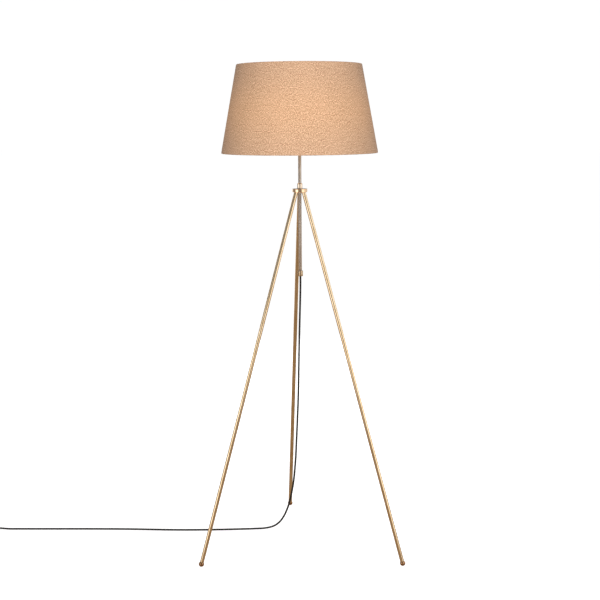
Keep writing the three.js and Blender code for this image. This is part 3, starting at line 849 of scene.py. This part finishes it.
def make_wires():
    inset = CLOTH + GAP + WIRE
    top = high("shade_top_ring").z - WIRE
    mesh = tube_mesh(circle_path(shade_radius(top) - inset, top), WIRE, closed=True)
    finish_piece("shade_top_wire", mesh, white_epoxy, "column", ("shade_top_ring",))

    bottom = low("shade_spider").z + WIRE
    rim = shade_radius(bottom) - inset
    flat = HOLDER + 39 * MM  # the middle of the fitter ring
    spider = tube_mesh(circle_path(rim, bottom), WIRE, closed=True)
    for azimuth in (90, 210, 330):
        outward = Vector((cos(radians(azimuth)), sin(radians(azimuth)), 0))
        shape = [(rim, bottom), (0.2, bottom + 3 * MM), (0.06, flat - 4 * MM), (0.026, flat)]
        arm = smooth_path([AXIS + outward * r + Vector((0, 0, z)) for r, z in shape], 6 * MM)
        join(spider, tube_mesh(arm, WIRE))
    fitter = holder_outline([(20, 38), (28, 38), (28, 40), (20, 40)])
    join(spider, turned_mesh(rounded(fitter, 0.4 * MM), ON_AXIS))
    finish_piece("shade_spider_wire", spider, white_epoxy, "column", ("shade_spider",))


def join(mesh, other):
    """Adds another bmesh's geometry to mesh."""
    data = bpy.data.meshes.new("joined")
    other.to_mesh(data)
    other.free()
    mesh.from_mesh(data)
    bpy.data.meshes.remove(data)


make_fabric()
make_lining()
make_wires()


# ---------- foot switch, plug and tie ----------

def plate_mesh(size, corner, bottom, top, edge, centre):
    """A flat plate with round corners and softened top and bottom edges."""
    mesh = bmesh.new()
    half_x, half_y = size[0] / 2, size[1] / 2
    soft = edge * 0.3
    levels = [
        (bottom, edge), (bottom + soft, soft), (bottom + edge, 0),
        (top - edge, 0), (top - soft, soft), (top, edge),
    ]
    rings = []
    for z, inset in levels:
        ring = []
        for quarter, (sx, sy) in enumerate(((1, 1), (-1, 1), (-1, -1), (1, -1))):
            for i in range(9):
                angle = pi / 2 * (quarter + i / 8)
                x = sx * (half_x - corner) + (corner - inset) * cos(angle)
                y = sy * (half_y - corner) + (corner - inset) * sin(angle)
                ring.append(mesh.verts.new((centre.x + x, centre.y + y, z)))
        rings.append(ring)
    skin(mesh, rings)
    return mesh


def make_switch():
    centre = middle("switch_base")
    size = high("switch_base") - low("switch_base")
    corner = 10 * MM
    for node, edge in (("switch_base", 0.8 * MM), ("switch_cover", 2.2 * MM)):
        mesh = plate_mesh(size, corner, low(node).z, high(node).z, edge, centre)
        finish_piece(node + "_moulded", mesh, black_plastic, "tripod", (node,))
    bottom, top, outer = low("switch_button").z, high("switch_button").z, radius_of("switch_button")
    button = [
        (0, bottom), (outer, bottom), (outer, top - 1.2 * MM), (outer - 2 * MM, top), (0, top - 0.6 * MM),
    ]
    place = Matrix.Translation(Vector((centre.x, centre.y, 0)))
    look = {"edge": 0.8 * MM, "place": place}
    turned("switch_button", button, black_rubber, "switch_button", "black_plastic", **look)


def make_sleeve(node, wide_x, direction, y, z):
    """A tapered strain relief with grooves, its wide end at wide_x."""
    outline = [(0.05, 0.3), (2, 0.3), (2, 3)]  # millimetres out from the lead, and along it
    for i in range(4):
        start = 3.6 + i * 4.2
        wall = 2 - start * 0.05
        outline += [(wall, start), (wall - 0.15, start + 2.4)]
        outline += [(wall - 0.75, start + 2.8), (wall - 0.8, start + 3.8)]
    outline += [(0.9, 21), (0.8, 22), (0.05, 22)]
    scaled = [(LEAD + wall * MM, along * MM) for wall, along in outline]
    place = Matrix.Translation((wide_x, y, z)) @ Matrix.Rotation(direction * pi / 2, 4, "Y")
    look = {"edge": 0.2 * MM, "place": place, "sides": 40}
    turned(node, scaled, black_rubber, "tripod", "black_rubber", **look)


def swollen(value, power):
    """A cosine or sine pushed outwards, so that a round section becomes fuller at its corners."""
    return abs(value) ** power * (1 if value >= 0 else -1)


def make_plug():
    """A moulded two-pin plug body, full at the face with the pins and narrower towards the lead."""
    start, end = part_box("plug_body")
    half_y, half_z = (end.y - start.y) / 2, (end.z - start.z) / 2
    sections = [  # share of the length from the lead's end, and share of the full width there
        (0.0, 0.42), (0.015, 0.5), (0.06, 0.56), (0.2, 0.68), (0.42, 0.84), (0.62, 0.96), (0.75, 1.0),
        (0.97, 1.0), (0.995, 0.985), (1.0, 0.95),
    ]
    sides = 48
    mesh = bmesh.new()
    rings = []
    for along, width in sections:
        x = start.x + (end.x - start.x) * along
        in_face = along > 0.98
        tall = width if in_face else 0.62 + 0.38 * smooth_step(along, 0, 0.7)
        ring = []
        for i in range(sides):
            angle = 2 * pi * i / sides
            y = PLUG_MIDDLE.y + swollen(cos(angle), 0.55) * half_y * width
            z = PLUG_MIDDLE.z + swollen(sin(angle), 0.75) * half_z * tall
            ring.append(mesh.verts.new((x, y, z)))
        rings.append(ring)
    skin(mesh, rings)
    bmesh.ops.recalc_face_normals(mesh, faces=mesh.faces)
    finish_piece("plug_body_moulded", mesh, black_plastic, "tripod", ("plug_body",))


def make_pin(node):
    """A round pin with a tapered tip, which points away from the lead."""
    root = Vector((low(node).x, middle(node).y, middle(node).z))
    length = high(node).x - low(node).x
    radius = 2 * MM
    tip = (0.6 * radius, length - 0.4 * MM)
    outline = [(0, 0), (radius, 0), (radius, length - 2 * MM), tip, (0, length)]
    place = Matrix.Translation(root) @ Matrix.Rotation(pi / 2, 4, "Y")
    turned(node, outline, nickel, "tripod", "steel", edge=0.5 * MM, place=place, sides=32)


make_switch()
switch_y = middle("switch_base").y
switch_lead_z = 6 * MM  # height of the lead where it goes through the switch
make_sleeve("switch_sleeve_1", high("switch_base").x, 1, switch_y, switch_lead_z)
make_sleeve("switch_sleeve_2", low("switch_base").x, -1, switch_y, switch_lead_z)
make_plug()
make_sleeve("plug_sleeve", low("plug_body").x, -1, PLUG_MIDDLE.y, PLUG_MIDDLE.z)
make_pin("plug_pin_1")
make_pin("plug_pin_2")


# ---------- carried-over CAD nodes ----------

LEG_HARDWARE = [
    f"leg_{side}_{piece}"
    for side in SIDES
    for piece in ("top_insert", "top_stud", "foot_insert")
]
CARRIED = {
    zinc_steel: ["cord_grip_screw", "bulb_tip", *LEG_HARDWARE],
    pale_brass: ["column_lock_nut"],
    nylon: ["gland_ferrule"],
    sheath: ["inner_flex"],
    porcelain: ["lampholder_block"],
    plain_brass: ["lampholder_centre_contact", "lampholder_side_contact"],
    black_plastic: ["bulb_insulator", "coil_tie"],
    brown_core: ["live_wire"],
    blue_core: ["neutral_wire"],
}


def repaint_nodes():
    for material, nodes in CARRIED.items():
        for node in nodes:
            for slot in frame["nodes"][node].material_slots:
                slot.material = material


repaint_nodes()


# ---------- floor and light ----------

WHITE = (1, 1, 1, 1)


def stage_piece(name, mesh, material, only):
    """A piece of the studio that is seen only by the named kind of ray."""
    data = bpy.data.meshes.new(name)
    mesh.to_mesh(data)
    mesh.free()
    data.materials.append(material)
    piece = in_scene(name, data)
    piece.visible_camera = only == "camera"
    piece.visible_glossy = only == "glossy"
    piece.visible_diffuse = False
    piece.visible_transmission = False
    piece.visible_shadow = False


def make_studio():
    """A white floor and backdrop for the camera, and a dark warm floor that only the metal mirrors."""
    floor = bmesh.new()
    bmesh.ops.create_grid(floor, x_segments=1, y_segments=1, size=45)
    paper = Graph("floor_white", Roughness=0.9, Specular_IOR_Level=0.1, Emission_Color=WHITE)
    clouds = paper.noise(paper.place(), 1.5, detail=2)
    paper.surface(Base_Color=paper.blend(clouds, (0.8, 0.8, 0.8, 1), (0.82, 0.82, 0.82, 1)))
    paper.surface(Emission_Strength=0.72)
    stage_piece("floor", floor, paper.material, only="camera")

    backdrop = bmesh.new()
    bmesh.ops.create_uvsphere(backdrop, u_segments=48, v_segments=24, radius=44)
    glowing = Graph("backdrop_white", Base_Color=(0, 0, 0, 1), Emission_Color=WHITE, Emission_Strength=1.0)
    stage_piece("backdrop", backdrop, glowing.material, only="camera")

    mirrored = bmesh.new()
    bmesh.ops.create_circle(mirrored, cap_ends=True, segments=48, radius=6)
    warm = Graph("mirrored_floor", Base_Color=(0, 0, 0, 1), Roughness=1.0, Emission_Strength=1.0)
    warm.surface(Emission_Color=(0.4, 0.29, 0.19, 1))
    stage_piece("mirrored_floor", mirrored, warm.material, only="glossy")


def area_light(name, azimuth, height, distance, size, radiance, only):
    """A softbox that faces the column, for only the diffuse cloth and plastic or the glossy metal."""
    light = bpy.data.lights.new(name, "AREA")
    light.shape = "RECTANGLE"
    light.size, light.size_y = size
    light.energy = radiance * pi * size[0] * size[1]
    lamp = in_scene(name, light)
    outward = Vector((cos(radians(azimuth)), sin(radians(azimuth)), 0))
    lamp.location = AXIS + outward * distance + Vector((0, 0, height))
    lamp.rotation_euler = (-outward).to_track_quat("-Z", "Y").to_euler()
    lamp.visible_glossy = only == "glossy"
    lamp.visible_diffuse = only == "diffuse"


def make_lights():
    world = bpy.data.worlds.new("studio")
    world.use_nodes = True
    background = world.node_tree.nodes["Background"]
    background.inputs["Color"].default_value = WHITE
    background.inputs["Strength"].default_value = 0.36
    bpy.context.scene.world = world
    area_light("key", 274, 1.5, 3.4, (1.6, 1.6), 11.8, only="diffuse")
    area_light("strip_left", 223, 0.7, 2.4, (1.65, 1.3), 2.05, only="glossy")
    area_light("strip_right", 321, 1.15, 2.4, (2.0, 2.1), 1.6, only="glossy")
    area_light("side_right", 8, 1.2, 2.4, (1.9, 2.0), 0.8, only="glossy")
    area_light("fill_back", 92, 1.5, 3.4, (2.4, 1.6), 4.5, only="diffuse")
    area_light("back_left", 128, 1.0, 2.4, (1.0, 1.8), 1.3, only="glossy")
    area_light("back_right", 52, 1.0, 2.4, (1.0, 1.8), 1.3, only="glossy")
    glow = bpy.data.lights.new("bulb_glow", "POINT")
    glow.energy = 0.8
    glow.color = (1.0, 0.72, 0.42)
    glow.shadow_soft_size = 0.03
    inside = in_scene("bulb_glow", glow)
    inside.location = AXIS + Vector((0, 0, high("bulb_globe").z + 20 * MM))
    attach(inside, "column")


make_studio()
make_lights()
bpy.context.scene.view_settings.view_transform = "Standard"
